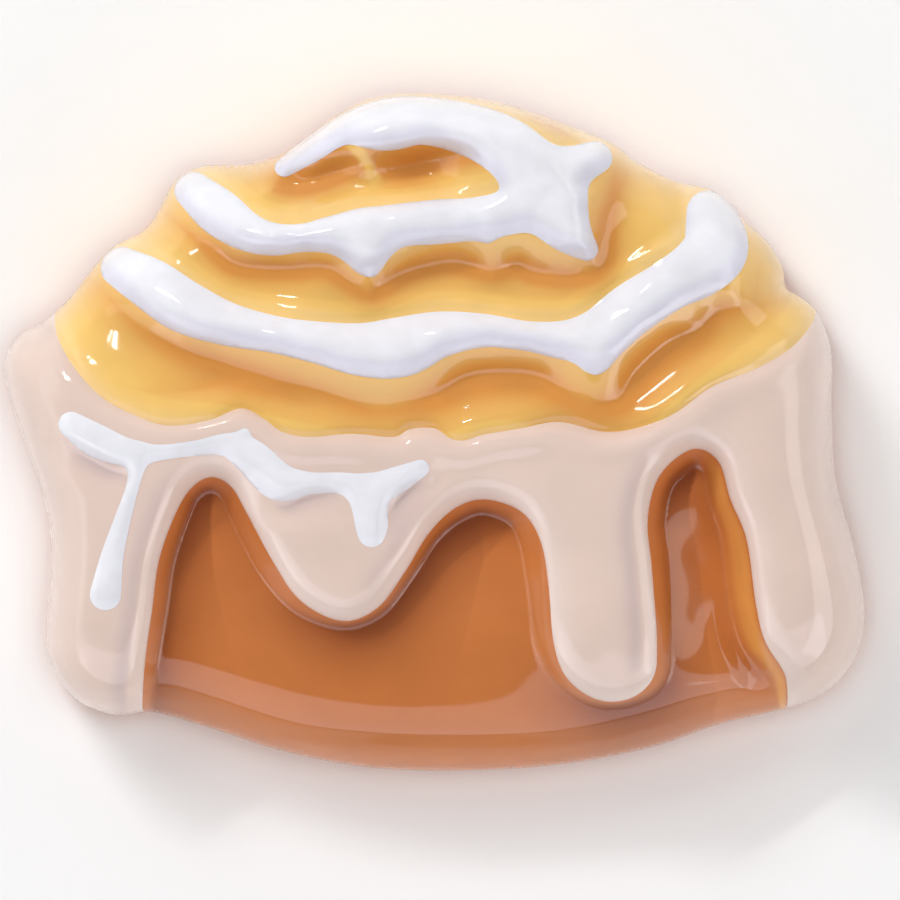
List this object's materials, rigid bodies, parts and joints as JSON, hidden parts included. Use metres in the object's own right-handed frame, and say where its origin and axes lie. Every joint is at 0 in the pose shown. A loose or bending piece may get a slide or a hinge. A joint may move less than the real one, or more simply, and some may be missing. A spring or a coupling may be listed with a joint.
{
  "type": "cinnamon roll charm",
  "caption": "Small flat-backed relief of an iced cinnamon roll in glossy moulded plastic: brown dough wall, dripping glaze, golden swirl and white icing ribbons.",
  "frame": {"origin": "centre of the flat back, on the surface that the charm lies on", "axes": "+X to the right across the roll, +Y up the roll as it is seen, +Z out of the relief face"},
  "size_m": [0.032, 0.0252, 0.0096],
  "materials": {
    "dough_brown": "high gloss",
    "glaze_cream": "high gloss",
    "swirl_gold": "high gloss",
    "icing_white": "high gloss"
  },
  "bodies": {
    "root": {"dough_body": "dough_brown", "glaze_skirt": "glaze_cream", "swirl_top": "swirl_gold", "icing_curl": "icing_white", "icing_arc": "icing_white", "icing_drizzle": "icing_white"}
  },
  "joints": []
}
